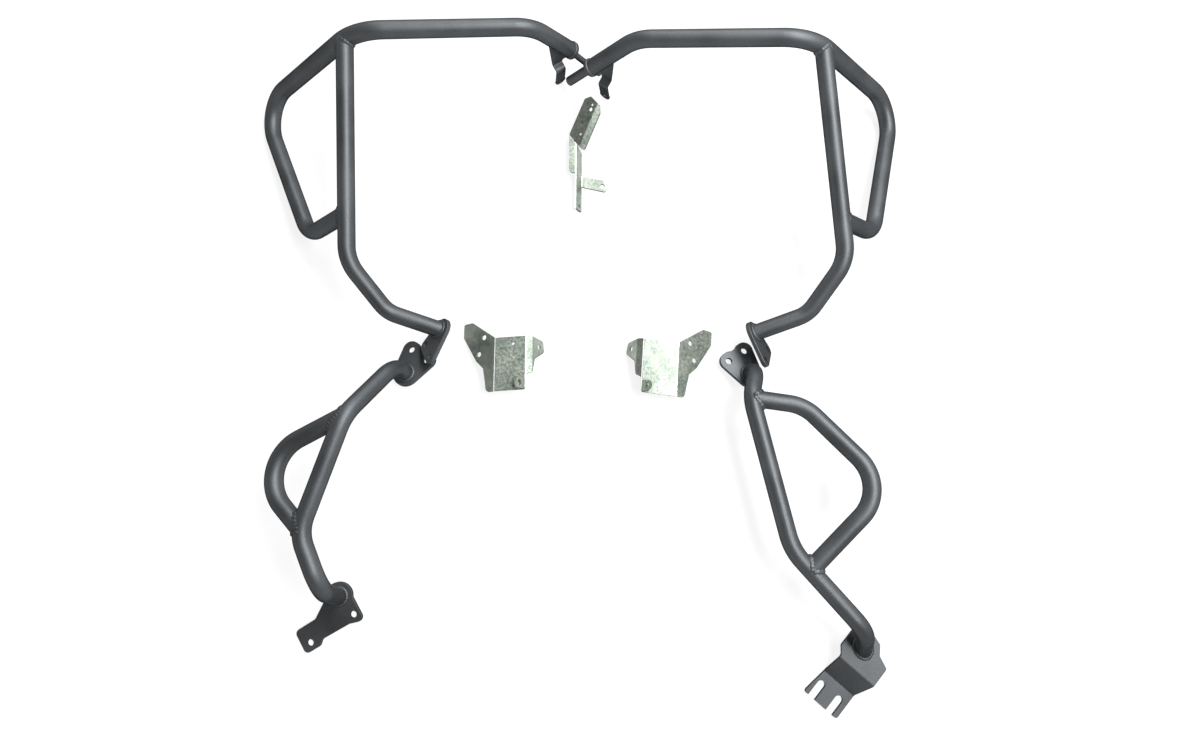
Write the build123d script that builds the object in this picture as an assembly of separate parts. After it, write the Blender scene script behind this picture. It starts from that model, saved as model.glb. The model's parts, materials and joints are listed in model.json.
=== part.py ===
"""Crash-bar kit for one motorcycle, laid out on the floor as it comes out of the box.

Two upper bars and two lower bars are weldments of bent steel tube, coped where tube meets tube and
cut flush where tube meets plate. Three brackets of folded zinc-plated sheet fix the kit to the machine.
Millimetres, +X to the right of the layout, +Y away from the viewer, +Z up.
The origin is on the floor, under the middle of the layout.
"""
from build123d import *
import os

# Tube stock and the welded joints
TUBE_OD = 25.4
TUBE_WALL = 2.0
WELD_GAP = 0.1  # fit-up gap that the weld fills at a coped end

# Slip joint between the two upper bars: a rod on the left slides into a tube on the right
SLIP_ROD_D = 10.0
SLIP_CLEARANCE = 0.4
SLIP_SOCKET_WALL = 2.3
SLIP_SOCKET_REACH = 56.0
SLIP_SLOT_W = 3.0
SLIP_SLOT_LENGTH = 14.0
SLIP_SLOT_FROM_ROOT = 18.0
COLLAR_LENGTH = 6.0
COLLAR_LIP = 1.2  # how far the collar stands proud of the tube
COLLAR_EDGE = 0.8

# Laser-cut plates
PLATE_T = 6.0
PLATE_EDGE = 0.6
BOLT_HOLE_D = 10.5
BOLT_PITCH = 32.0  # the two engine bolts that the foot lugs, engine plates and fork share

# Engine plates, as seen on the left bar: bolts set out from the tube's landing point, angles in degrees
ENGINE_BOLT_REACH = 35.0
ENGINE_BOLT_BEARING = 57.0
ENGINE_BOLT_LINE = -35.0
ENGINE_TUBE_LOBE_R = 21.0
ENGINE_HOLE_LOBE_R = 14.0
ENGINE_SCALLOP_R = 16.0
ENGINE_SCALLOP_DEPTH = 3.0
ENGINE_SCALLOP_FILLET = 4.0
ENGINE_LIFT = 7.25  # raises the tilted plate's landing point so that its lowest corner rests on the floor

# Foot lugs of the upper bars
LUG_BOLT_REACH = 37.5
LUG_BOLT_LINE = 64.5
LUG_TUBE_LOBE_R = 19.0
LUG_TUBE_SHIFT = 6.0  # the tube lands at a slant, so its lobe is set off to one side
LUG_HOLE_LOBE_R = 10.5

# Lower left frame plate, outlined from the tube's landing point
FRAME_PLATE_T = 6.0
FRAME_HOLE_D = 10.0
FRAME_CORNER_R = 7.0
FRAME_TUBE_LOBE_R = 21.0
FRAME_BOLTS = ((24, -25.5), (-37, -65.5))
FRAME_OUTLINE = (
    (-16, 4), (14, 11), (41, -34), (19, -39), (-20, -61), (-22, -70), (-42, -82), (-61, -50), (-32, -32),
)

# Lower right fork plate, stepped by two folds. Its X runs from the upper flat down to the open slots.
FORK_T = 5.0
FORK_W = 59.0
FORK_OFFSET = -7.0  # the lower flat stands this far to one side of the upper one
FORK_STEP = 21.0  # height from the lower flat up to the upper flat
FORK_STEP_RUN = 27.0
FORK_LOWER_LENGTH = 43.0
FORK_UPPER_LENGTH = 56.0
FORK_BEND_R = 6.0
FORK_SLOT_W = 12.0
FORK_SLOT_LENGTH = 29.0
FORK_CORNER_R = 4.0
FORK_TAPER = 6.0
FORK_UPPER_OUTLINE = (
    (0, 27.5), (-31, 27.5), (-39, 9), (-52, 0), (-57, -16), (-54, -36), (-41, -42), (-15, -42), (-5, -34),
)
FORK_FROM_TUBE = (-9, -35)  # from the tube's landing point to the upper fold
FORK_HEADING = (-0.653, -0.758, 0)

# Fairing tabs under the inner ends of the upper bars: strips folded as an S, with an eye at the foot
TAB_W = 17.0
TAB_T = 3.0
TAB_BEND_R = 4.0
TAB_HOLE_D = 6.5
TAB_STATION = 0.3  # share of the way from the tube's end to its first bend
TAB_TURN = 34.0  # degrees that the tab's face is turned towards the middle of the kit
TAB_EYE_R = 9.5
TAB_EYE_Z = 10.0
TAB_LOWER_FOLD = (6.2, 46.8)  # reach towards the viewer from the eye, and height
TAB_UPPER_FOLD = (-5.4, 49.8)
TAB_LEAN = 0.12  # how far the root leans back, to the tube, for each millimetre above the upper fold
TAB_FLARE = 12.0  # how much wider the root is, towards the tube's end
TAB_FLARE_Z = 53.0
TAB_FLARE_R = 4.0

# Folded zinc-plated sheet
SHEET_T = 3.0
SHEET_BEND_R = 4.0
SHEET_HOLE_D = 8.5
SHEET_SMALL_HOLE_D = 4.5

# Side brackets, as seen on the left one, outlined from the left fold (wing) and the right fold (flange)
SIDE_PANEL_W = 47.0  # left bracket
SIDE_PANEL_W_RIGHT = 53.0
SIDE_PANEL_LENGTH = 84.0
SIDE_PANEL_SKEW = 4.0  # the panel's lower edge rises this far to the right
SIDE_WING_RUN = 55.0
SIDE_WING_DROP = 32.0
SIDE_BAND_W = 10.0
SIDE_BAND_DROP = 5.0
SIDE_FLANGE_RUN = 15.0
SIDE_FLANGE_DROP = 25.0
SIDE_CORNER_R = 3.0
SIDE_FOOT_R = 7.0
SIDE_WING_OUTLINE = ((-40, 71), (-SIDE_WING_RUN, 70), (-SIDE_WING_RUN, 48), (-32, 8), (-20, -4), (-16, -26))
SIDE_FLANGE_OUTLINE = ((2, -14), (SIDE_BAND_W, -10), (13, 12), (26, 26), (24, 42), (8, 46))
SIDE_WING_FOOT = 14.0
SIDE_WING_HOLES = ((-19, 45), (-27, 19))
SIDE_PANEL_HOLE = (4, 33)
SIDE_FLANGE_HOLE = (18, 31)
EAR_W = 17.0
EAR_LENGTH = 20.0
EAR_LEAN = 40.0  # degrees from upright, over the panel
EAR_SETBACK = 1.0

# Centre bracket: flange, steep web and floor tab folded as a Z, and a plate bent up from the flange's end
CENTRE_FLANGE_W = 12.0
CENTRE_FLANGE_LENGTH = 57.0
CENTRE_WEB_DROP = 14.0
CENTRE_WEB_RUN = 7.0
CENTRE_STRAP_LENGTH = 120.0
CENTRE_STRAP_EDGE = 1.5  # the strap's left edge below the flange, left of the fold
CENTRE_CORNER_R = 3.0
CENTRE_FLANGE_R = 8.0
CENTRE_HOLE_D = 6.0
CENTRE_STRAP_HOLE_EDGE = 8.0  # from the strap's end
CENTRE_TAB_OUTLINE = ((0, -57), (35, -65), (43, -75), (39, -85), (0, -76))
CENTRE_TAB_HOLE = (34, -75)
CENTRE_TAB_HOLE_D = 8.0
CENTRE_KNEE_AT = 10.0
CENTRE_KNEE_ANGLE = -53.0  # direction of the slanting fold between the flange and the plate
CENTRE_PLATE_RISE = 30.0
CENTRE_PLATE_OUTLINE = ((-22, 57), (-17, 67), (3, 68), (11.5, 60), (36, 0))
CENTRE_PLATE_HOLES = ((-5.5, 60, 4.0), (-2, 53.5, 6.0), (14, 15, 4.0))
CENTRE_LIP_RUN = 9.0  # lip folded down along the plate's right edge, the last one of its outline
CENTRE_LIP_DROP = 6.0

# Bend points of the upper bars, where the straight runs of each tube's axis would meet
UPPER_LEFT = {
    "inner_end": (-48, 516, 66),
    "rod_root": (-44, 512.6, 62.3),
    "rod_tip": (0, 506, 16),
    "inner_bend": (-102, 502, 140),
    "corner": (-353, 466, 181),
    "wing": (-571, 453, 1.1),
    "wing_foot": (-455, 207, 48),
    "knee": (-373, 147, 102),
    "ankle": (-323, 81, 58.5),
    "foot_end": (-250, 59, 39.2),
    "upright_station": 0.85,
    "wing_station": 0.785,
    "lug_normal": (-0.65, 0.24, 0.72),
    "lug_along": (-0.41, -0.91, -0.07),
    "tab_reach": (-3, -13.5),
}
UPPER_RIGHT = {
    "inner_end": (-13, 485, 66),
    "inner_bend": (55, 482, 140),
    "corner": (306, 455, 181),
    "wing": (495, 454, 1.3),
    "wing_foot": (427, 210, 48),
    "knee": (363, 148, 102),
    "ankle": (316, 78, 58),
    "foot_end": (242, 54, 38),
    "upright_station": 0.85,
    "wing_station": 0.81,
    "lug_normal": (0.76, 0.28, 0.585),
    "lug_along": (0.41, -0.91, -0.07),
    "tab_reach": (1, -13.5),
}
RAIL_BEND_RADII = (65, 85, 50, 38)
UPRIGHT_BEND_RADII = (65, 45)

# Bend points of the lower bars
LOWER_LEFT = {
    "engine_seat": (-304, -5, PLATE_T + ENGINE_LIFT),
    "engine_normal": (-0.12, 0.14, 0.98),
    "engine_rise": 40,
    "shoulder": (-357, -83, 118),
    "elbow": (-410, -242, 112),
    "ankle": (-378, -321, 105),
    "seat": (-390, -342, FRAME_PLATE_T),
    "bend_radii": (45, 60, 60, 42),
    "loop": ((-494, -151, 95),),
    "loop_radii": (58,),
}
LOWER_RIGHT = {
    "engine_seat": (234, -7, PLATE_T + ENGINE_LIFT),
    "engine_normal": (0.12, 0.14, 0.98),
    "engine_rise": 32,
    "shoulder": (222, -52, 72),
    "elbow": (270, -268, 76),
    "ankle": (370, -380, 70),
    "seat": (380, -410, FORK_T + FORK_STEP),
    "bend_radii": (38, 55, 80, 45),
    "loop": ((298, -64, 74), (403, -182, 100)),
    "loop_radii": (60, 60),
}
LOOP_LEFT_STATIONS = (0.4, 0.45)
LOOP_RIGHT_STATIONS = (0.5, 0.25)

# Where the loose brackets lie
LEFT_BRACKET_AT = (-138, 4)
RIGHT_BRACKET_AT = (92, -2)
RIGHT_BRACKET_TURN = -4.0
CENTRE_BRACKET_AT = (-39, 385)


def tube_path(points, radii):
    """Axis of a bent tube: straight runs joined by tangent arcs."""
    return FilletPolyline(*points, radius=list(radii))


def swept(path, profile):
    """Solid made by carrying a round profile along a tube's axis."""
    return sweep(Plane(origin=path @ 0, z_dir=path % 0) * profile, path=path)


def bent_tube(path):
    return swept(path, Circle(TUBE_OD / 2) - Circle(TUBE_OD / 2 - TUBE_WALL))


def cope_cutter(path):
    """Solid that a tube's end is coped to, a fit-up gap larger than the tube it meets."""
    return swept(path, Circle(TUBE_OD / 2 + WELD_GAP))


def largest(shape):
    """The body of a cut tube, without the offcut left inside or beyond the joint."""
    return max(shape.solids(), key=lambda solid: solid.volume)


def on_line(start, end, fraction):
    return Vector(*start) * (1 - fraction) + Vector(*end) * fraction


def cut_flush(tube, plane):
    """Tube trimmed flush with the face of the plate that it lands on."""
    below = plane * Pos(0, 0, -2 * TUBE_OD) * Cylinder(2 * TUBE_OD, 4 * TUBE_OD)
    return largest(tube - below)


def past(point, direction, reach):
    return Vector(*point) + Vector(*direction).normalized() * reach


def lobed_outline(tube_r, hole_r, holes, centre=(0, 0)):
    """Outline of a plate that wraps a tube end and two bolt holes."""
    lobes = Sketch() + Pos(*centre) * Circle(tube_r)
    lobes += [Pos(*hole) * Circle(hole_r) for hole in holes]
    return make_hull(lobes.edges())


def plate(plane, outline, thickness):
    """Flat plate below the seating plane, with the upper edge of its outline eased."""
    blank = extrude(outline, amount=-thickness)
    top_edges = blank.faces().sort_by(Axis.Z)[-1].outer_wire().edges()
    return plane * chamfer(top_edges, PLATE_EDGE)


def bolt_pair(reach, bearing, line):
    """Centres of the two engine bolts in a plate, from the tube's landing point."""
    middle = Vector(reach, 0).rotate(Axis.Z, bearing)
    half_pitch = Vector(BOLT_PITCH / 2, 0).rotate(Axis.Z, line)
    return [middle - half_pitch, middle + half_pitch]


def engine_plate(plane, side):
    bolts = bolt_pair(ENGINE_BOLT_REACH, ENGINE_BOLT_BEARING, ENGINE_BOLT_LINE)
    holes = [(side * bolt.X, bolt.Y) for bolt in bolts]
    outline = lobed_outline(ENGINE_TUBE_LOBE_R, ENGINE_HOLE_LOBE_R, holes)
    middle = (Vector(*holes[0]) + Vector(*holes[1])) / 2
    scallop = middle + middle.normalized() * (ENGINE_HOLE_LOBE_R + ENGINE_SCALLOP_R - ENGINE_SCALLOP_DEPTH)
    outline -= Pos(*scallop) * Circle(ENGINE_SCALLOP_R)
    outline = fillet(outline.vertices().sort_by_distance(tuple(scallop))[:2], ENGINE_SCALLOP_FILLET)
    outline -= [Pos(*hole) * Circle(BOLT_HOLE_D / 2) for hole in holes]
    return plate(plane, outline, PLATE_T)


def foot_lug(plane, side):
    holes = [(hole.X, side * hole.Y) for hole in bolt_pair(LUG_BOLT_REACH, 0, LUG_BOLT_LINE)]
    outline = lobed_outline(LUG_TUBE_LOBE_R, LUG_HOLE_LOBE_R, holes, (0, side * LUG_TUBE_SHIFT))
    outline -= [Pos(*hole) * Circle(BOLT_HOLE_D / 2) for hole in holes]
    return plate(plane, outline, PLATE_T)


def fairing_tab(tube_axis, end_plane, reach, side):
    """Strip folded as an S under the tube, flared along its weld and rounded to an eye at its foot."""
    station = tube_axis @ TAB_STATION
    heading = tube_axis % 0
    across = Vector(1, 0, 0).rotate(Axis.Z, side * TAB_TURN)
    place = Plane(origin=(station.X + reach[0], station.Y + reach[1], 0), x_dir=across, z_dir=(0, 0, 1))
    half = TAB_W / 2
    flared = half + TAB_FLARE
    weld_slope = heading.Z / heading.dot(across)
    axis_x = -Vector(*reach).dot(across)
    weld_line = [(x, station.Z + (x - axis_x) * weld_slope) for x in (-side * half, side * flared)]
    outline = [(-side * half, TAB_EYE_Z), *weld_line, (side * flared, TAB_FLARE_Z)]
    outline += [(side * half, TAB_FLARE_Z), (side * half, TAB_EYE_Z)]
    front = make_face(FilletPolyline(*outline, radius=(0, 0, 0, TAB_FLARE_R, TAB_FLARE_R, 0), close=True))
    front += Pos(0, TAB_EYE_Z) * Circle(TAB_EYE_R)

    root_z = max(z for x, z in weld_line)
    root = -TAB_UPPER_FOLD[0] + TAB_LEAN * (root_z - TAB_UPPER_FOLD[1])
    foot = TAB_LOWER_FOLD[0] * TAB_EYE_Z / (TAB_LOWER_FOLD[1] - TAB_EYE_Z)
    section = [(root, root_z), (-TAB_UPPER_FOLD[0], TAB_UPPER_FOLD[1])]
    section += [(-TAB_LOWER_FOLD[0], TAB_LOWER_FOLD[1]), (foot, 0)]
    strip = Plane.YZ * folded_sheet(section, 2 * flared, TAB_T, TAB_BEND_R)
    strip &= Plane.XZ * extrude(front, amount=root_z, both=True)
    eye_normal = (0, TAB_LOWER_FOLD[1] - TAB_EYE_Z, TAB_LOWER_FOLD[0])
    strip -= Plane(origin=(0, 0, TAB_EYE_Z), z_dir=eye_normal) * Cylinder(TAB_HOLE_D / 2, 4 * TAB_T)
    collar_room = end_plane * extrude(Circle(TUBE_OD / 2 + COLLAR_LIP + WELD_GAP), amount=2 * COLLAR_LENGTH)
    return largest(place * strip - cope_cutter(tube_axis) - collar_room)


def end_collar(plane):
    """Solid collar that closes a tube's inner end."""
    collar = extrude(Circle(TUBE_OD / 2 + COLLAR_LIP), amount=COLLAR_LENGTH)
    return plane * chamfer(collar.edges().filter_by(GeomType.CIRCLE), COLLAR_EDGE)


def slip_rod(plane, root, tip):
    """Slotted rod that leaves the left bar's collar low down and at a slant."""
    run = Line(root, tip)
    blank = swept(run, Circle(SLIP_ROD_D / 2))
    rod = chamfer(blank.edges().filter_by(GeomType.CIRCLE).sort_by_distance(tip)[0], COLLAR_EDGE)
    slot_at = Plane(origin=past(root, tuple(run % 0), SLIP_SLOT_FROM_ROOT), x_dir=run % 0, z_dir=(0, -1, 0))
    rod -= slot_at * extrude(SlotOverall(SLIP_SLOT_LENGTH, SLIP_SLOT_W), amount=SLIP_ROD_D, both=True)
    return split(rod, bisect_by=plane, keep=Keep.TOP), blank


def slip_socket(plane):
    """Tube on the right bar that takes the rod."""
    bore_r = SLIP_ROD_D / 2 + SLIP_CLEARANCE
    blank = extrude(Circle(bore_r + SLIP_SOCKET_WALL), amount=SLIP_SOCKET_REACH)
    return plane * (blank - extrude(Circle(bore_r), amount=SLIP_SOCKET_REACH)), plane * blank


def upper_bar(name, points, side):
    """One upper bar. Side is 1 for the left bar and -1 for the right one."""
    nodes = {}
    corner_points = [points[key] for key in ("inner_bend", "corner", "wing")]
    corner_axis = tube_path(corner_points, RAIL_BEND_RADII[1:2])
    upright_top = corner_axis.edges()[1] @ points["upright_station"]
    wing_weld = on_line(tuple(upright_top), points["knee"], points["wing_station"])
    rail_points = [points["inner_end"], *corner_points, points["wing_foot"], tuple(wing_weld)]
    upright_direction = (upright_top - wing_weld).normalized() * (2 * TUBE_OD)
    upright_run = Line(tuple(wing_weld + upright_direction), tuple(wing_weld - upright_direction))
    nodes["rail"] = largest(bent_tube(tube_path(rail_points, RAIL_BEND_RADII)) - cope_cutter(upright_run))

    lug_plane = Plane(origin=points["foot_end"], x_dir=points["lug_along"], z_dir=points["lug_normal"])
    foot_run = Vector(*points["foot_end"]) - Vector(*points["ankle"])
    through_lug = past(points["foot_end"], tuple(foot_run), TUBE_OD)
    upright_points = [tuple(upright_top), points["knee"], points["ankle"], tuple(through_lug)]
    upright = largest(bent_tube(tube_path(upright_points, UPRIGHT_BEND_RADII)) - cope_cutter(corner_axis))
    nodes["upright"] = cut_flush(upright, lug_plane)
    nodes["foot_lug"] = foot_lug(lug_plane, side)

    inner_run = Line(points["inner_end"], points["inner_bend"])
    end_plane = Plane(origin=points["inner_end"], z_dir=-(inner_run % 0))
    if side > 0:
        nodes["slip_rod"], seat = slip_rod(end_plane, points["rod_root"], points["rod_tip"])
    else:
        nodes["slip_socket"], seat = slip_socket(end_plane)
    nodes["end_collar"] = end_collar(end_plane) - seat
    nodes["fairing_tab"] = fairing_tab(inner_run, end_plane, points["tab_reach"], side)
    return {f"{name}_{key}": node for key, node in nodes.items()}


def frame_plate(plane):
    """Plate with two frame bolts, waisted between them and wrapped round the tube end."""
    outline = make_face(FilletPolyline(*FRAME_OUTLINE, radius=FRAME_CORNER_R, close=True))
    outline += Circle(FRAME_TUBE_LOBE_R)
    outline -= [Pos(*hole) * Circle(FRAME_HOLE_D / 2) for hole in FRAME_BOLTS]
    return plate(plane, outline, FRAME_PLATE_T)


def folded_sheet(points, length, thickness, radius):
    """Sheet folded along parallel lines: its section, given by the middle line, carried along the fold."""
    middle = FilletPolyline(*points, radius=radius)
    section = trace(middle, line_width=thickness)
    return extrude(section, amount=length / 2, both=True)


def fork_plate(seat):
    """Plate stepped by two folds, with two open slots in its lower flat."""
    top = FORK_STEP + FORK_T
    tip = FORK_STEP_RUN + FORK_LOWER_LENGTH
    upper_z = top - FORK_T / 2
    section = [(-FORK_UPPER_LENGTH, upper_z), (0, upper_z), (FORK_STEP_RUN, FORK_T / 2), (tip, FORK_T / 2)]
    sheet = Plane.XZ * folded_sheet(section, 2 * FORK_W, FORK_T, FORK_BEND_R)
    left = FORK_OFFSET - FORK_W / 2
    right = FORK_OFFSET + FORK_W / 2
    lower = [(FORK_STEP_RUN, left + FORK_TAPER), (tip, left), (tip, right), (FORK_STEP_RUN, right)]
    plan = make_face(FilletPolyline(*lower, *FORK_UPPER_OUTLINE, radius=FORK_CORNER_R, close=True))
    for offset in (-BOLT_PITCH / 2, BOLT_PITCH / 2):
        slot_start = tip - FORK_SLOT_LENGTH + FORK_SLOT_W / 2
        plan -= Pos(slot_start, FORK_OFFSET + offset) * Circle(FORK_SLOT_W / 2)
        open_end = Rectangle(FORK_SLOT_LENGTH, FORK_SLOT_W, align=(Align.MIN, Align.CENTER))
        plan -= Pos(slot_start, FORK_OFFSET + offset) * open_end
    sheet &= extrude(plan, amount=top)
    origin = (seat[0] + FORK_FROM_TUBE[0], seat[1] + FORK_FROM_TUBE[1], seat[2] - top)
    return Plane(origin=origin, x_dir=FORK_HEADING, z_dir=(0, 0, 1)) * sheet


def lower_bar(name, points, side):
    """One lower bar: a main tube from the engine plate to a lower plate, and a loop on its outside."""
    nodes = {}
    normal = Vector(*points["engine_normal"]).normalized()
    engine_seat = Vector(*points["engine_seat"])
    engine_plane = Plane(origin=points["engine_seat"], x_dir=(1, 0, 0), z_dir=tuple(normal))
    seat_plane = Plane(origin=points["seat"], z_dir=(0, 0, 1))
    landing = Vector(*points["seat"]) - Vector(*points["ankle"])
    start = engine_seat - normal * TUBE_OD
    rise = engine_seat + normal * points["engine_rise"]
    finish = past(points["seat"], tuple(landing), TUBE_OD)
    run = [tuple(start), tuple(rise), points["shoulder"], points["elbow"], points["ankle"], tuple(finish)]
    axis = tube_path(run, points["bend_radii"])
    if side > 0:
        loop_start = axis.edges()[3] @ LOOP_LEFT_STATIONS[0]
        loop_end = axis.edges()[5] @ LOOP_LEFT_STATIONS[1]
        nodes["frame_plate"] = frame_plate(seat_plane)
    else:
        loop_start = axis.edges()[3] @ LOOP_RIGHT_STATIONS[0]
        loop_end = on_line(points["elbow"], points["ankle"], LOOP_RIGHT_STATIONS[1])
        nodes["fork_plate"] = fork_plate(points["seat"])
    nodes["main_tube"] = cut_flush(cut_flush(bent_tube(axis), engine_plane), seat_plane)
    loop_axis = tube_path([tuple(loop_start), *points["loop"], tuple(loop_end)], points["loop_radii"])
    nodes["loop"] = largest(bent_tube(loop_axis) - cope_cutter(axis))
    nodes["engine_plate"] = engine_plate(engine_plane, side)
    return {f"{name}_{key}": node for key, node in nodes.items()}


def drilled(sheet, point, normal, diameter):
    """Sheet with a hole square to the leaf that the point lies on."""
    return sheet - Plane(origin=point, z_dir=normal) * Cylinder(diameter / 2, 4 * SHEET_T)


def side_bracket(panel_w):
    """Left-hand bracket: wing, panel, band and flange in one folded sheet, with an ear turned up."""
    half = panel_w / 2
    height = SIDE_WING_DROP + SHEET_T / 2
    band_foot = (half + SIDE_BAND_W, height - SIDE_BAND_DROP)
    flange_foot = (band_foot[0] + SIDE_FLANGE_RUN, band_foot[1] - SIDE_FLANGE_DROP)
    wing_foot = (-half - SIDE_WING_RUN, height - SIDE_WING_DROP)
    section = [wing_foot, (-half, height), (half, height), band_foot, flange_foot]
    sheet = Plane.XZ * folded_sheet(section, 2 * SIDE_PANEL_LENGTH, SHEET_T, SHEET_BEND_R)
    front = -SIDE_PANEL_LENGTH / 2
    outline = [(x - half, y) for x, y in SIDE_WING_OUTLINE]
    outline += [(-half - SIDE_WING_FOOT, front), (half, front + SIDE_PANEL_SKEW)]
    outline += [(half + x, y) for x, y in SIDE_FLANGE_OUTLINE]
    outline.append((-half, -front))
    radii = [SIDE_CORNER_R] * len(outline)
    radii[len(SIDE_WING_OUTLINE)] = SIDE_FOOT_R
    plan = make_face(FilletPolyline(*outline, radius=radii, close=True))
    sheet &= extrude(plan, amount=2 * height)

    wing_slope = SIDE_WING_DROP / SIDE_WING_RUN
    for x, y in SIDE_WING_HOLES:
        sheet = drilled(sheet, (x - half, y, height + x * wing_slope), (-wing_slope, 0, 1), SHEET_HOLE_D)
    sheet = drilled(sheet, (*SIDE_PANEL_HOLE, height), (0, 0, 1), SHEET_SMALL_HOLE_D)
    flange_slope = SIDE_FLANGE_DROP / SIDE_FLANGE_RUN
    x, y = SIDE_FLANGE_HOLE
    flange_z = band_foot[1] - (x - SIDE_BAND_W) * flange_slope
    sheet = drilled(sheet, (half + x, y, flange_z), (flange_slope, 0, 1), SHEET_HOLE_D)

    root = Pos(half - EAR_SETBACK, front + SIDE_PANEL_SKEW + EAR_W / 2 + EAR_SETBACK, height)
    straight = EAR_LENGTH - EAR_W / 2
    ear = Rectangle(EAR_W, straight, align=(Align.CENTER, Align.MIN)) + Pos(0, straight) * Circle(EAR_W / 2)
    ear -= Pos(0, straight) * Circle(SHEET_HOLE_D / 2)
    upright_ear = Plane.YZ * extrude(ear, amount=SHEET_T / 2, both=True)
    return sheet + root * Rot(0, -EAR_LEAN, 0) * upright_ear


def centre_bracket():
    """Strip folded as a Z along its length, and a plate bent up across a slanting fold."""
    top = CENTRE_WEB_DROP + SHEET_T
    middle_z = top - SHEET_T / 2
    floor_z = SHEET_T / 2
    tab_end = CENTRE_WEB_RUN + max(x for x, y in CENTRE_TAB_OUTLINE)
    section = [(-CENTRE_FLANGE_W, middle_z), (0, middle_z), (CENTRE_WEB_RUN, floor_z), (tab_end, floor_z)]
    strip = Plane.XZ * folded_sheet(section, 4 * CENTRE_STRAP_LENGTH, SHEET_T, SHEET_BEND_R)
    fold_direction = Vector(1, 0, 0).rotate(Axis.Z, CENTRE_KNEE_ANGLE)
    knee = Plane(origin=(-CENTRE_FLANGE_W, CENTRE_KNEE_AT, top), x_dir=fold_direction)
    web_edge = CENTRE_WEB_RUN + SHEET_T / 2
    fold_length = (web_edge + CENTRE_FLANGE_W) / knee.x_dir.X
    web_top = knee.origin + knee.x_dir * fold_length
    outline = [(-CENTRE_FLANGE_W, CENTRE_KNEE_AT), (web_edge, web_top.Y)]
    outline += [(web_edge + x, y) for x, y in CENTRE_TAB_OUTLINE]
    outline += [(web_edge, -CENTRE_STRAP_LENGTH), (-CENTRE_STRAP_EDGE, -CENTRE_STRAP_LENGTH)]
    outline += [(-CENTRE_STRAP_EDGE, -CENTRE_FLANGE_LENGTH), (-CENTRE_FLANGE_W, -CENTRE_FLANGE_LENGTH)]
    rounded = CENTRE_CORNER_R
    radii = (0, 0, 0, rounded, rounded, rounded, 0, rounded, rounded, 0, CENTRE_FLANGE_R)
    strip &= extrude(make_face(FilletPolyline(*outline, radius=radii, close=True)), amount=top)
    strap_hole = (CENTRE_WEB_RUN / 2, CENTRE_STRAP_HOLE_EDGE - CENTRE_STRAP_LENGTH, top / 2)
    strip = drilled(strip, strap_hole, (CENTRE_WEB_DROP, 0, CENTRE_WEB_RUN), CENTRE_HOLE_D)
    tab_hole = (web_edge + CENTRE_TAB_HOLE[0], CENTRE_TAB_HOLE[1], floor_z)
    strip = drilled(strip, tab_hole, (0, 0, 1), CENTRE_TAB_HOLE_D)

    fold_end = CENTRE_FLANGE_W / knee.x_dir.X
    fold_face = Plane.XZ * Rectangle(fold_end, SHEET_T, align=(Align.MIN, Align.MAX))
    fold = revolve(fold_face, axis=Axis.X, revolution_arc=CENTRE_PLATE_RISE)
    plan = make_face(FilletPolyline((0, 0), *CENTRE_PLATE_OUTLINE, radius=CENTRE_CORNER_R, close=True))
    plan -= [Pos(x, y) * Circle(diameter / 2) for x, y, diameter in CENTRE_PLATE_HOLES]
    plate_length = max(y for x, y in CENTRE_PLATE_OUTLINE)
    edge_start, edge_end = (Vector(*point) for point in CENTRE_PLATE_OUTLINE[-2:])
    lip_edge = Plane(origin=edge_end, x_dir=(edge_end - edge_start).rotate(Axis.Z, 90), z_dir=(0, 0, 1))
    lip_foot = (CENTRE_LIP_RUN, -SHEET_T / 2 - 2 * CENTRE_LIP_DROP)
    section = [(-plate_length, -SHEET_T / 2), (-CENTRE_LIP_RUN, -SHEET_T / 2), lip_foot]
    leaf = lip_edge * (Plane.XZ * folded_sheet(section, 4 * plate_length, SHEET_T, SHEET_BEND_R))
    leaf &= extrude(plan, amount=plate_length, both=True)
    return strip + knee * (fold + Rot(CENTRE_PLATE_RISE, 0, 0) * leaf)


def kit():
    """All nodes of the kit by name, in the frame of the layout."""
    nodes = {}
    nodes.update(upper_bar("upper_left", UPPER_LEFT, 1))
    nodes.update(upper_bar("upper_right", UPPER_RIGHT, -1))
    nodes.update(lower_bar("lower_left", LOWER_LEFT, 1))
    nodes.update(lower_bar("lower_right", LOWER_RIGHT, -1))
    nodes["left_side_bracket"] = Pos(*LEFT_BRACKET_AT) * side_bracket(SIDE_PANEL_W)
    right_bracket = mirror(side_bracket(SIDE_PANEL_W_RIGHT), about=Plane.YZ)
    nodes["right_side_bracket"] = Pos(*RIGHT_BRACKET_AT) * Rot(0, 0, RIGHT_BRACKET_TURN) * right_bracket
    nodes["centre_bracket"] = Pos(*CENTRE_BRACKET_AT) * centre_bracket()
    return nodes


def main():
    nodes = kit()
    box = Compound(children=[Part() + node for node in nodes.values()]).bounding_box()
    to_origin = Pos(-box.center().X, -box.center().Y, -box.min.Z)
    os.makedirs("parts", exist_ok=True)
    for name, node in nodes.items():
        export_step(to_origin * (Part() + node), f"parts/{name}.step")
    print("box", box.min, box.max)


main()
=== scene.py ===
"""Motorcycle crash-bar kit: paint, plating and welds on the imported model, and the studio it lies in."""
import json
import math

import bmesh
import bpy
from bpy.props import FloatProperty, FloatVectorProperty, PointerProperty
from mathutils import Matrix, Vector
from mathutils.bvhtree import BVHTree


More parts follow.
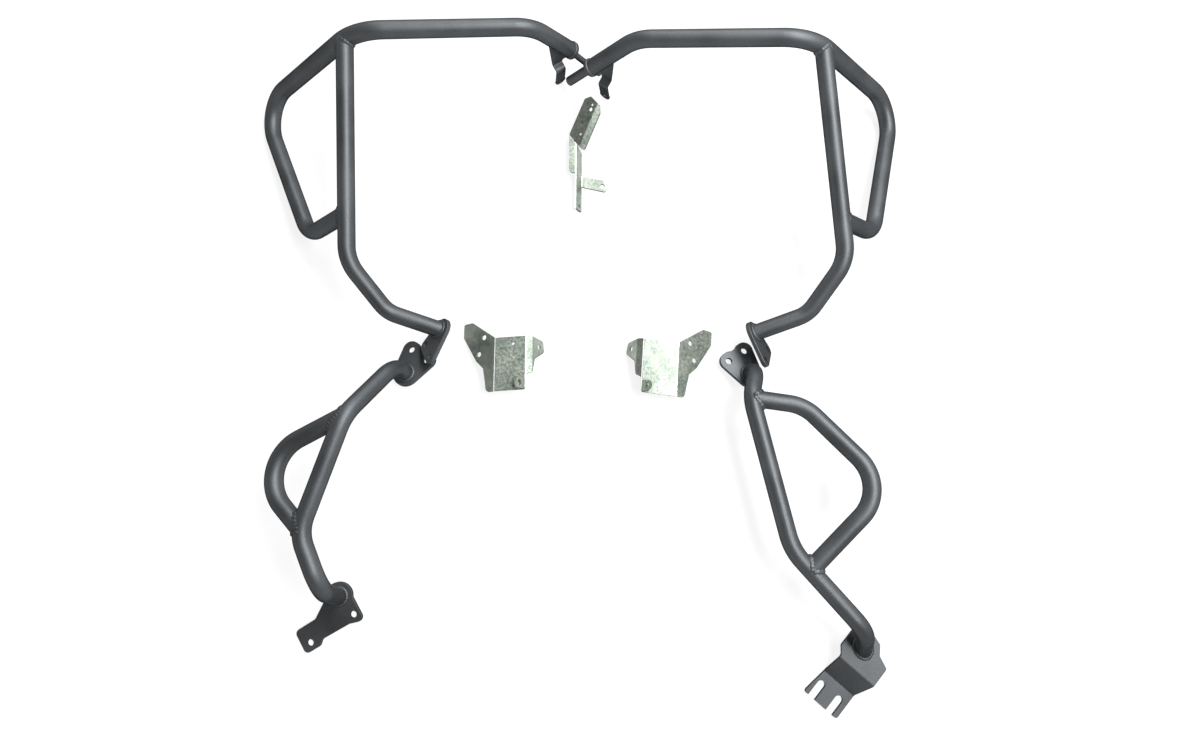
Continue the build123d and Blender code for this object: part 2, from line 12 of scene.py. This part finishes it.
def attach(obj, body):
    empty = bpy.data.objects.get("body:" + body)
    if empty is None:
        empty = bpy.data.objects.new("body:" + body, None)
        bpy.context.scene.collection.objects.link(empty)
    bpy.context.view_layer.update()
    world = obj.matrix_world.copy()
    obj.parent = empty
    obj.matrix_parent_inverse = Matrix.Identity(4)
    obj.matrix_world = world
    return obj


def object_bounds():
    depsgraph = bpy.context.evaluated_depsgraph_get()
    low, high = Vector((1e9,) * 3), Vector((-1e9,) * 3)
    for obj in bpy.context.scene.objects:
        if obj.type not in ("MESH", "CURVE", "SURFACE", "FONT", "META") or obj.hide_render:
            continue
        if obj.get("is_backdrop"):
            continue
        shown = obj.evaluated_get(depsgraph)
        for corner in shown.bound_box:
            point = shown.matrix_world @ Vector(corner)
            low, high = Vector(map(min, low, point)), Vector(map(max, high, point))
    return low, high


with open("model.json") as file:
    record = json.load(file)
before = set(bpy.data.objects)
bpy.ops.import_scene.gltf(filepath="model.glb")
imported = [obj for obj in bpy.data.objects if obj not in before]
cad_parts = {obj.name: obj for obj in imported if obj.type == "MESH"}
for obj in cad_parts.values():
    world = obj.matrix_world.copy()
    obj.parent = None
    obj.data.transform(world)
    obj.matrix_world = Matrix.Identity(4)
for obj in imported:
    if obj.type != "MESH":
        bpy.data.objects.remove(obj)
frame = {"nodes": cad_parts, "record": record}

bl_info = {
    "name": "Crash bar kit",
    "version": (1, 0, 0),
    "blender": (4, 5, 0),
    "location": "View3D > Sidebar > Crash bars",
    "description": "Finishes, weld beads and studio for a laid-out kit of motorcycle crash bars",
    "category": "Object",
}

CAD_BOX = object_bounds()
SLOT_OF = {row["node"]: row["material_slot"] for row in frame["record"]["subparts"]}
PAINT_SLOT = "powder_coat"
PLATING_SLOT = "zinc_plate"
COAT_NAME = "graphite_powder_coat"

# Ranges that the finishes read
NOISE_BAND = (0.3, 0.7)  # where most of a noise's values lie
COAT_CONTRAST = (0.72, 1.28)  # darkest and palest tone of the coat, as shares of its colour
FLECK_BAND = (0.35, 0.75)
CLOUD_BAND = (0.32, 0.7)
SPANGLE_BAND = (0.3, 0.72)
CLOUD_SHARE = 0.7  # the rest of the zinc's tone is spangle
SPANGLE_SIZE = 0.22  # as a share of a cloud

# How far a face of the sheet looks up, from 0 to 1
# Cut edges are darkened, partly as painted shade
CUT_EDGE = (0.14, 0.3)  # where a cut edge gives way to a leaf
# The folds get a painted highlight
FOLD_STEEP = (0.89, 0.93)  # where a steep leaf gives way to a fold
FOLD_FLAT = (0.975, 0.992)  # where a fold gives way to a flat leaf
FOLD_METAL = 0.2  # how metallic the painted fold highlight looks

# Weld beads
MERGE = 1e-5  # points closer than this are one
SHARP = math.radians(40)  # least angle between the faces at a tube end's rim
BEAD_SMOOTHING = 3
BEAD_RESOLUTION = 3

# The studio
SENSOR_WIDTH = 36.0
CLIP_START = 0.01
WALL_TOP = (0.25, 0.6)  # sine of the elevation where the pale walls give way to a dark ceiling

# Each lamp's place, what it points at and its two sides
LAMPS = {
    "softbox": ((0.9, 1.05, 2.1), (0.0, 0.2, 0.0), (1.0, 0.8)),
    "side_light": ((1.1, -0.2, 2.1), (0.0, -0.2, 0.0), (1.0, 0.7)),
    "back_light": ((-0.1, 2.9, 2.1), (0.0, 0.4, 0.0), (1.4, 0.6)),
}

# Each tube end and the piece that it is welded to, with the bead's size and the depth of its ripples
WELDS = (
    ("upper_left_upright", "upper_left_rail", 1.0, 0.08),
    ("upper_left_rail", "upper_left_upright", 1.0, 0.08),
    ("upper_left_upright", "upper_left_foot_lug", 0.9, 0.08),
    ("upper_right_upright", "upper_right_rail", 1.0, 0.08),
    ("upper_right_rail", "upper_right_upright", 1.0, 0.08),
    ("upper_right_upright", "upper_right_foot_lug", 0.9, 0.08),
    ("lower_left_loop", "lower_left_main_tube", 1.3, 0.2),
    ("lower_left_main_tube", "lower_left_engine_plate", 1.0, 0.1),
    ("lower_left_main_tube", "lower_left_frame_plate", 1.0, 0.1),
    ("lower_right_loop", "lower_right_main_tube", 1.2, 0.1),
    ("lower_right_main_tube", "lower_right_engine_plate", 1.0, 0.1),
    ("lower_right_main_tube", "lower_right_fork_plate", 1.0, 0.1),
    ("upper_right_rail", "upper_right_end_collar", 0.55, 0.05),
    ("upper_left_rail", "upper_left_end_collar", 0.4, 0.05),
    ("upper_right_end_collar", "upper_right_slip_socket", 0.5, 0.05),
)
FLAT_SEATS = ("_plate", "_lug")  # ends of the names of pieces that a bead lies flat on
# How far the bead's skin falls over one ripple, as shares of the ripple's depth
RIPPLE = (0.0, 0.15, 0.55, 1.0)


class Wire:
    """A shader socket that takes part in plain arithmetic."""

    def __init__(self, finish, socket):
        self.finish = finish
        self.socket = socket

    def math(self, operation, first, second):
        return self.finish.node("ShaderNodeMath", {"operation": operation}, {0: first, 1: second})

    def __add__(self, other):
        return self.math("ADD", self, other)

    def __radd__(self, other):
        return self.math("ADD", other, self)

    def __sub__(self, other):
        return self.math("SUBTRACT", self, other)

    def __rsub__(self, other):
        return self.math("SUBTRACT", other, self)

    def __mul__(self, other):
        return self.math("MULTIPLY", self, other)

    def __rmul__(self, other):
        return self.math("MULTIPLY", other, self)

    def __abs__(self):
        return self.math("ABSOLUTE", self, 0.0)


class Finish:
    """A node tree and the one way that nodes are added to it."""

    def __init__(self, tree):
        self.tree = tree
        tree.nodes.clear()

    def node(self, kind, settings=None, inputs=None, output=0):
        node = self.tree.nodes.new(kind)
        for key, value in (settings or {}).items():
            setattr(node, key, value)
        for key, value in (inputs or {}).items():
            if isinstance(value, Wire):
                self.tree.links.new(value.socket, node.inputs[key])
            else:
                node.inputs[key].default_value = value
        return Wire(self, node.outputs[output]) if node.outputs else None

    def place(self):
        return self.node("ShaderNodeTexCoord", output="Object")

    def noise(self, size, detail=3.0, roughness=0.5, at=None):
        """Noise whose features are about one size across, in metres."""
        inputs = {
            "Vector": at or self.place(),
            "Scale": 1 / size,
            "Detail": detail,
            "Roughness": roughness,
        }
        return self.node("ShaderNodeTexNoise", None, inputs)

    def spread(self, value, low, high, to_low=0.0, to_high=1.0):
        """A value from low to high carried smoothly to another range."""
        inputs = {
            "Value": value,
            "From Min": low,
            "From Max": high,
            "To Min": to_low,
            "To Max": to_high,
        }
        return self.node("ShaderNodeMapRange", {"interpolation_type": "SMOOTHSTEP"}, inputs)

    def blend(self, share, first, second):
        """Colour that goes from the first to the second as the share goes from 0 to 1."""
        inputs = {0: share, 6: first, 7: second}
        return self.node("ShaderNodeMix", {"data_type": "RGBA"}, inputs, output=2)

    def bump(self, height, depth):
        return self.node("ShaderNodeBump", None, {"Strength": 1.0, "Distance": depth, "Height": height})

    def surface(self, shader):
        self.node("ShaderNodeOutputMaterial", None, {"Surface": shader})


def rgba(colour, factor=1.0):
    return (*(min(1.0, channel * factor) for channel in colour), 1.0)


def new_material(name):
    old = bpy.data.materials.get(name)
    if old:
        bpy.data.materials.remove(old)
    material = bpy.data.materials.new(name)
    material.use_nodes = True
    return material, Finish(material.node_tree)


def powder_coat(settings):
    """Satin graphite powder coat: fine orange peel, pinpoint flecks and slow drifts of tone."""
    material, finish = new_material(COAT_NAME)
    drift = finish.noise(settings.drift_size, 2.0)
    fleck = finish.noise(settings.grain_size * 0.6, 1.0)
    peel = finish.noise(settings.grain_size, 2.0)
    slow = finish.spread(drift, *NOISE_BAND, 0.25, 0.75)
    tone = slow + finish.spread(fleck, *FLECK_BAND, -0.25, 0.35)
    colour = finish.blend(tone, *(rgba(settings.colour, share) for share in COAT_CONTRAST))
    softest, hardest = settings.roughness + 0.04, settings.roughness - 0.03
    roughness = finish.spread(drift, *NOISE_BAND, hardest, softest)
    shader = finish.node("ShaderNodeBsdfPrincipled", None, {
        "Base Color": colour,
        "Roughness": roughness,
        "Metallic": settings.flake,
        "Specular IOR Level": settings.gloss,
        "Specular Tint": rgba(settings.flop),
        "Normal": finish.bump(peel, settings.peel_depth),
    })
    finish.surface(shader)
    return material


def zinc_plate(settings):
    """Bright zinc plating: cloudy spangle, rolling marks, a painted highlight along the folds and dark
    sheared edges, partly painted shade.
    """
    material, finish = new_material("mottled_zinc_plating")
    place = finish.place()
    cloud = finish.noise(settings.cloud_size, 4.0, 0.6, place)
    spangle = finish.noise(settings.cloud_size * SPANGLE_SIZE, 3.0, 0.65, place)
    stretched = finish.node("ShaderNodeMapping", None, {"Vector": place, "Scale": (1.0, 0.08, 1.0)})
    rolling = finish.noise(settings.rolling_size, 2.0, 0.5, stretched)
    normal = finish.node("ShaderNodeTexCoord", output="Normal")
    upward = finish.node("ShaderNodeSeparateXYZ", None, {"Vector": normal}, output="Z")
    # Faces that hardly look up: cut edges, darkened partly as painted shade
    cut_edge_and_shade = finish.spread(abs(upward), *CUT_EDGE, 1.0, 0.0)
    cloudy = finish.spread(cloud, *CLOUD_BAND) * CLOUD_SHARE
    tone = cloudy + finish.spread(spangle, *SPANGLE_BAND) * (1 - CLOUD_SHARE)
    # Mask of the folds, where a highlight is painted
    fold_highlight_mask = finish.spread(abs(upward), *FOLD_STEEP)
    fold_highlight_mask = fold_highlight_mask * finish.spread(abs(upward), *FOLD_FLAT, 1.0, 0.0)
    plated = finish.blend(tone, rgba(settings.shade), rgba(settings.colour))
    # Painted highlight: near-white colour laid along the folds
    plated = finish.blend(fold_highlight_mask, plated, rgba(settings.painted_fold_highlight))
    # Cut edges take a dark colour, partly their own and partly painted shade
    colour = finish.blend(cut_edge_and_shade, plated, rgba(settings.edge))
    uneven = finish.spread(spangle, *NOISE_BAND, -0.06, 0.1)
    roughness = settings.roughness + uneven + cut_edge_and_shade * 0.2
    grain = rolling * 0.5 + spangle * 0.5
    shader = finish.node("ShaderNodeBsdfPrincipled", None, {
        "Base Color": colour,
        "Roughness": roughness,
        # The painted fold highlight is less metallic so that its pale colour shows
        "Metallic": finish.spread(fold_highlight_mask, 0.0, 1.0, settings.metal, FOLD_METAL),
        "Normal": finish.bump(grain, settings.grain_depth),
    })
    finish.surface(shader)
    return material


def paint_nodes(slot, material):
    for name, node in frame["nodes"].items():
        if SLOT_OF[name] == slot:
            node.data.materials.clear()
            node.data.materials.append(material)


def surface_tree(node):
    points = [vertex.co for vertex in node.data.vertices]
    return BVHTree.FromPolygons(points, [face.vertices for face in node.data.polygons])


def walk(edges):
    """Closed chains of edges, as lists of their vertices in order."""
    left = set(edges)
    for edge in edges:
        if edge not in left:
            continue
        left.discard(edge)
        chain = [edge.verts[0], edge.verts[1]]
        while True:
            following = [e for e in chain[-1].link_edges if e in left]
            if not following:
                break
            left.discard(following[0])
            chain.append(following[0].other_vert(chain[-1]))
        if chain[0] == chain[-1]:
            yield chain[:-1]


def weld_paths(branch, seat, reach):
    """Outer rims of a tube's end against its seat: points with the two faces that the bead joins."""
    tree = surface_tree(seat)
    shell = bmesh.new()
    shell.from_mesh(branch.data)
    bmesh.ops.remove_doubles(shell, verts=shell.verts, dist=MERGE)
    near = {v: tree.find_nearest(v.co) for v in shell.verts}
    rim = [
        edge for edge in shell.edges
        if len(edge.link_faces) == 2 and edge.calc_face_angle(0.0) > SHARP
        and all(near[v][3] < reach for v in edge.verts)
    ]
    rim_set = set(rim)
    paths = []
    for chain in walk(rim):
        centre = sum((v.co for v in chain), Vector()) / len(chain)
        path = []
        outward = 0.0
        for v in chain:
            seat_normal = near[v][1]
            faces = [f for e in v.link_edges if e in rim_set for f in e.link_faces]
            wall = max((f.normal for f in faces), key=lambda n: n.dot(seat_normal))
            outward += wall.dot(v.co - centre)
            path.append((v.co.copy(), wall.copy(), seat_normal.copy()))
        if outward > -MERGE:
            paths.append(path)
    shell.free()
    return paths


def reachable(path, trees):
    """Whether a torch can get at a rim: some straight way out from it meets no piece."""
    for point, wall, seat_normal in path:
        out = (wall + seat_normal).normalized()
        if all(tree.ray_cast(point + out * MERGE, out)[0] is None for tree in trees):
            return True
    return False


def evenly(points, step):
    """Closed line of points at even distances."""
    closed = points + points[:1]
    lengths = [(b - a).length for a, b in zip(closed, closed[1:])]
    count = max(len(RIPPLE) * 2, round(sum(lengths) / step))
    count -= count % len(RIPPLE)
    spaced, travelled, index = [], 0.0, 0
    for k in range(count):
        target = sum(lengths) * k / count
        while travelled + lengths[index] < target:
            travelled += lengths[index]
            index += 1
        share = (target - travelled) / max(lengths[index], 1e-9)
        spaced.append(closed[index].lerp(closed[index + 1], share))
    for _ in range(BEAD_SMOOTHING):
        after = spaced[1:] + spaced[:1]
        before = spaced[-1:] + spaced[:-1]
        spaced = [(a + 2 * p + b) / 4 for a, p, b in zip(before, spaced, after)]
    return spaced


def bead(name, path, radius, throat, crown, pitch, ripple):
    """Rippled bead along a closed rim, sunk so that it fills the corner between two faces."""
    middle = []
    for point, wall, seat_normal in path:
        out = (wall + seat_normal).normalized()
        opening = wall.angle(seat_normal, 0.0)
        height = crown + throat * math.sin(opening / 2)
        middle.append(point - out * (radius - height))
    line = bpy.data.curves.new(name, "CURVE")
    line.dimensions = "3D"
    line.bevel_depth = radius
    line.bevel_resolution = BEAD_RESOLUTION
    spaced = evenly(middle, pitch / len(RIPPLE))
    spline = line.splines.new("POLY")
    spline.points.add(len(spaced) - 1)
    for k, (point, target) in enumerate(zip(spaced, spline.points)):
        target.co = (*point, 1.0)
        target.radius = 1 - ripple * RIPPLE[k % len(RIPPLE)]
    spline.use_cyclic_u = True
    piece = bpy.data.objects.new(name, line)
    bpy.context.scene.collection.objects.link(piece)
    bpy.ops.object.select_all(action="DESELECT")
    piece.select_set(True)
    bpy.context.view_layer.objects.active = piece
    bpy.ops.object.convert(target="MESH")
    bpy.ops.object.shade_smooth()
    return bpy.context.object


class PowderCoatSettings(bpy.types.PropertyGroup):
    colour: FloatVectorProperty(
        name="Colour", description="Base colour of the coat", subtype="COLOR", size=3, min=0, max=1,
        default=(0.106, 0.113, 0.119))
    flake: FloatProperty(
        name="Flake", description="Share of metal flake in the coat", subtype="FACTOR", min=0,
        max=1, default=0.82)
    flop: FloatVectorProperty(
        name="Flop", description="Tint of the flake where it is seen edgeways", subtype="COLOR",
        size=3, min=0, max=1,
        default=(0.0, 0.0, 0.0))
    gloss: FloatProperty(
        name="Gloss", description="Strength of the clear reflection", subtype="FACTOR", min=0,
        max=1, default=0.15)
    roughness: FloatProperty(
        name="Roughness", description="Softness of the satin sheen", subtype="FACTOR", min=0, max=1,
        default=0.52)
    grain_size: FloatProperty(
        name="Grain", description="Size of the orange peel", subtype="DISTANCE", unit="LENGTH",
        default=0.0012)
    peel_depth: FloatProperty(
        name="Peel depth", description="Height of the orange peel", subtype="DISTANCE",
        unit="LENGTH", default=0.00006)
    drift_size: FloatProperty(
        name="Drift", description="Size of the slow changes of tone", subtype="DISTANCE",
        unit="LENGTH", default=0.07)


class ZincSettings(bpy.types.PropertyGroup):
    colour: FloatVectorProperty(
        name="Colour", description="Bright zinc", subtype="COLOR", size=3, min=0, max=1,
        default=(0.44, 0.48, 0.415))
    shade: FloatVectorProperty(
        name="Shade", description="Dull zinc", subtype="COLOR", size=3, min=0, max=1,
        default=(0.235, 0.28, 0.24))
    # Dark colour of the cut edges, partly painted shade
    edge: FloatVectorProperty(
        name="Edge", description="Sheared edges", subtype="COLOR", size=3, min=0, max=1,
        default=(0.07, 0.08, 0.07))
    # Colour of the highlight painted along the folds
    painted_fold_highlight: FloatVectorProperty(
        name="Painted fold highlight", description="Highlight painted along the folds", subtype="COLOR", size=3, min=0, max=1,
        default=(0.95, 0.95, 0.93))
    metal: FloatProperty(
        name="Metal", description="How metallic the plating looks", subtype="FACTOR", min=0, max=1,
        default=0.88)
    roughness: FloatProperty(
        name="Roughness", description="Softness of the plating's shine", subtype="FACTOR", min=0,
        max=1, default=0.38)
    cloud_size: FloatProperty(
        name="Clouds", description="Size of the cloudy patches", subtype="DISTANCE", unit="LENGTH",
        default=0.02)
    rolling_size: FloatProperty(
        name="Rolling marks", description="Width of the rolling marks", subtype="DISTANCE",
        unit="LENGTH", default=0.0015)
    grain_depth: FloatProperty(
        name="Grain depth", description="Height of the plating's grain", subtype="DISTANCE",
        unit="LENGTH",
        default=0.00008)


class WeldSettings(bpy.types.PropertyGroup):
    radius: FloatProperty(
        name="Radius", description="Radius of a bead between tubes", subtype="DISTANCE",
        unit="LENGTH", default=0.006)
    plate_radius: FloatProperty(
        name="Plate radius", description="Radius of a bead on a plate, less than its thickness",
        subtype="DISTANCE",
        unit="LENGTH", default=0.0035)
    throat: FloatProperty(
        name="Throat", description="How far the bead fills a corner", subtype="DISTANCE",
        unit="LENGTH", default=0.003)
    crown: FloatProperty(
        name="Crown", description="How far the bead stands proud of a flat joint",
        subtype="DISTANCE", unit="LENGTH",
        default=0.0009)
    pitch: FloatProperty(
        name="Ripple", description="Distance between ripples", subtype="DISTANCE", unit="LENGTH",
        default=0.0034)
    reach: FloatProperty(
        name="Reach", description="Fit-up gap that a bead closes", subtype="DISTANCE",
        unit="LENGTH", default=0.004)


class StageSettings(bpy.types.PropertyGroup):
    floor_colour: FloatVectorProperty(
        name="Floor", description="Colour of the floor", subtype="COLOR", size=3, min=0, max=1,
        default=(0.2, 0.2, 0.2))
    floor_size: FloatProperty(
        name="Floor size", description="Side of the floor", subtype="DISTANCE", unit="LENGTH",
        default=40.0)
    paleness: FloatProperty(
        name="Paleness", description="Plain white in the floor as the camera sees it",
        subtype="FACTOR",
        min=0, max=1, default=0.85)
    key_power: FloatProperty(
        name="Softbox", description="Power of the softbox", subtype="POWER", unit="POWER",
        default=52.0)
    side_power: FloatProperty(
        name="Side light", description="Power of the light beside the lower bars", subtype="POWER",
        unit="POWER",
        default=46.0)
    back_power: FloatProperty(
        name="Back light", description="Power of the light behind the rails", subtype="POWER",
        unit="POWER",
        default=40.0)
    ambient: FloatProperty(
        name="Ambient", description="Light from the ceiling", subtype="FACTOR", min=0, max=2,
        default=0.04)
    walls: FloatProperty(
        name="Walls", description="Light from the walls", subtype="FACTOR", min=0, max=2,
        default=0.7)
    lens: FloatProperty(
        name="Lens", description="Focal length", subtype="DISTANCE_CAMERA", unit="CAMERA",
        default=20.4)
    camera_at: FloatVectorProperty(
        name="Camera", description="Where the camera stands", subtype="TRANSLATION", unit="LENGTH",
        size=3,
        default=(0.03307, -0.19302, 1.0614))
    look_at: FloatVectorProperty(
        name="Target", description="What the camera looks at", subtype="TRANSLATION", unit="LENGTH",
        size=3,
        default=(0.03307, -0.00972, 0.0001))


class CRASHBARS_OT_powder_coat(bpy.types.Operator):
    """Coat the bars, lugs and plates"""

    bl_idname = "crashbars.powder_coat"
    bl_label = "Powder coat the bars"

    def execute(self, context):
        paint_nodes(PAINT_SLOT, powder_coat(context.scene.crashbars_coat))
        return {"FINISHED"}


class CRASHBARS_OT_zinc(bpy.types.Operator):
    """Plate the folded brackets"""

    bl_idname = "crashbars.zinc"
    bl_label = "Plate the brackets"

    def execute(self, context):
        paint_nodes(PLATING_SLOT, zinc_plate(context.scene.crashbars_zinc))
        return {"FINISHED"}


class CRASHBARS_OT_welds(bpy.types.Operator):
    """Lay a rippled bead round every welded tube end"""

    bl_idname = "crashbars.welds"
    bl_label = "Weld the joints"

    def execute(self, context):
        settings = context.scene.crashbars_welds
        coat = bpy.data.materials[COAT_NAME]
        trees = [surface_tree(node) for node in frame["nodes"].values()]
        for branch, seat, size, ripple in WELDS:
            rims = weld_paths(frame["nodes"][branch], frame["nodes"][seat], settings.reach)
            paths = [rim for rim in rims if reachable(rim, trees)]
            if not paths:
                raise RuntimeError(f"{branch} has no rim against {seat}")
            for k, path in enumerate(paths):
                name = f"weld_{branch}_to_{seat}_{k + 1}"
                radius = settings.plate_radius if seat.endswith(FLAT_SEATS) else settings.radius
                common = (radius, settings.throat, settings.crown, settings.pitch)
                piece = bead(name, path, *(length * size for length in common), ripple)
                piece.data.materials.append(coat)
                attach(piece, "root")
        return {"FINISHED"}


class CRASHBARS_OT_stage(bpy.types.Operator):
    """Set the floor, the lamps, the surroundings and the camera"""

    bl_idname = "crashbars.stage"
    bl_label = "Set the studio"

    def floor(self, settings):
        bpy.ops.object.select_all(action="DESELECT")
        bpy.ops.mesh.primitive_plane_add(size=settings.floor_size)
        floor = bpy.context.object
        floor.name = "studio_floor"
        material, finish = new_material("pale_floor")
        matt = finish.node("ShaderNodeBsdfDiffuse", None, {"Color": rgba(settings.floor_colour)})
        glow = self.seen(finish) * settings.paleness
        white = finish.node("ShaderNodeEmission", None, {"Strength": glow})
        finish.surface(finish.node("ShaderNodeAddShader", None, {0: matt, 1: white}))
        floor.data.materials.append(material)
        floor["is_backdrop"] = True

    def seen(self, finish):
        """1 for what the camera sees, straight or in metal and glass, and 0 for light that falls."""
        path = finish.node("ShaderNodeLightPath")
        rays = [Wire(finish, path.socket.node.outputs[key])
                for key in ("Is Camera Ray", "Is Glossy Ray", "Is Transmission Ray")]
        return rays[0].math("MAXIMUM", rays[0], rays[1].math("MAXIMUM", rays[1], rays[2]))

    def surroundings(self, scene, settings):
        scene.world = bpy.data.worlds.new("studio")
        scene.world.use_nodes = True
        finish = Finish(scene.world.node_tree)
        heading = finish.node("ShaderNodeTexCoord", output="Generated")
        height = finish.node("ShaderNodeSeparateXYZ", None, {"Vector": heading}, output="Z")
        walls = settings.walls + self.seen(finish) * (1 - settings.walls)
        level = finish.spread(height, *WALL_TOP, walls, settings.ambient)
        sky = finish.node("ShaderNodeBackground", None, {"Strength": level})
        finish.node("ShaderNodeOutputWorld", None, {"Surface": sky})

    def lamp(self, name, power):
        """Soft rectangular lamp that the camera doesn't see."""
        at, towards, size = LAMPS[name]
        data = bpy.data.lights.new(name, "AREA")
        data.shape = "RECTANGLE"
        data.size, data.size_y = size
        data.energy = power
        lamp = bpy.data.objects.new(name, data)
        bpy.context.scene.collection.objects.link(lamp)
        lamp.location = at
        lamp.rotation_euler = (Vector(towards) - Vector(at)).to_track_quat("-Z", "Y").to_euler()
        lamp.visible_camera = False

    def camera(self, scene, settings):
        data = bpy.data.cameras.new("camera")
        data.sensor_width = SENSOR_WIDTH
        data.lens = settings.lens
        data.clip_start = CLIP_START
        camera = bpy.data.objects.new("camera", data)
        scene.collection.objects.link(camera)
        camera.location = settings.camera_at
        heading = Vector(settings.look_at) - Vector(settings.camera_at)
        camera.rotation_euler = heading.to_track_quat("-Z", "Y").to_euler()
        scene.camera = camera

    def execute(self, context):
        scene = context.scene
        settings = scene.crashbars_stage
        self.floor(settings)
        self.surroundings(scene, settings)
        self.lamp("softbox", settings.key_power)
        self.lamp("side_light", settings.side_power)
        self.lamp("back_light", settings.back_power)
        self.camera(scene, settings)
        scene.view_settings.view_transform = "Standard"
        return {"FINISHED"}


class CRASHBARS_PT_panel(bpy.types.Panel):
    """Crash bar kit"""

    bl_idname = "CRASHBARS_PT_panel"
    bl_label = "Crash bars"
    bl_space_type = "VIEW_3D"
    bl_region_type = "UI"
    bl_category = "Crash bars"

    def draw(self, context):
        for operator, group in STEPS:
            self.layout.operator(operator.bl_idname)
            settings = getattr(context.scene, group)
            for key in settings.__annotations__:
                self.layout.prop(settings, key)


GROUPS = {
    "crashbars_coat": PowderCoatSettings,
    "crashbars_zinc": ZincSettings,
    "crashbars_welds": WeldSettings,
    "crashbars_stage": StageSettings,
}
STEPS = (
    (CRASHBARS_OT_powder_coat, "crashbars_coat"),
    (CRASHBARS_OT_zinc, "crashbars_zinc"),
    (CRASHBARS_OT_welds, "crashbars_welds"),
    (CRASHBARS_OT_stage, "crashbars_stage"),
)


def register():
    for name, group in GROUPS.items():
        bpy.utils.register_class(group)
        setattr(bpy.types.Scene, name, PointerProperty(type=group))
    for operator, _ in STEPS:
        bpy.utils.register_class(operator)
    bpy.utils.register_class(CRASHBARS_PT_panel)


def unregister():
    bpy.utils.unregister_class(CRASHBARS_PT_panel)
    for operator, _ in reversed(STEPS):
        bpy.utils.unregister_class(operator)
    for name, group in GROUPS.items():
        delattr(bpy.types.Scene, name)
        bpy.utils.unregister_class(group)


def main():
    register()
    bpy.ops.crashbars.powder_coat()
    bpy.ops.crashbars.zinc()
    bpy.ops.crashbars.welds()
    bpy.ops.crashbars.stage()
    boxes = {"cad": CAD_BOX, "visual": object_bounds()}
    {name: [list(corner) for corner in box] for name, box in boxes.items()}


if __name__ == "__main__":
    main()
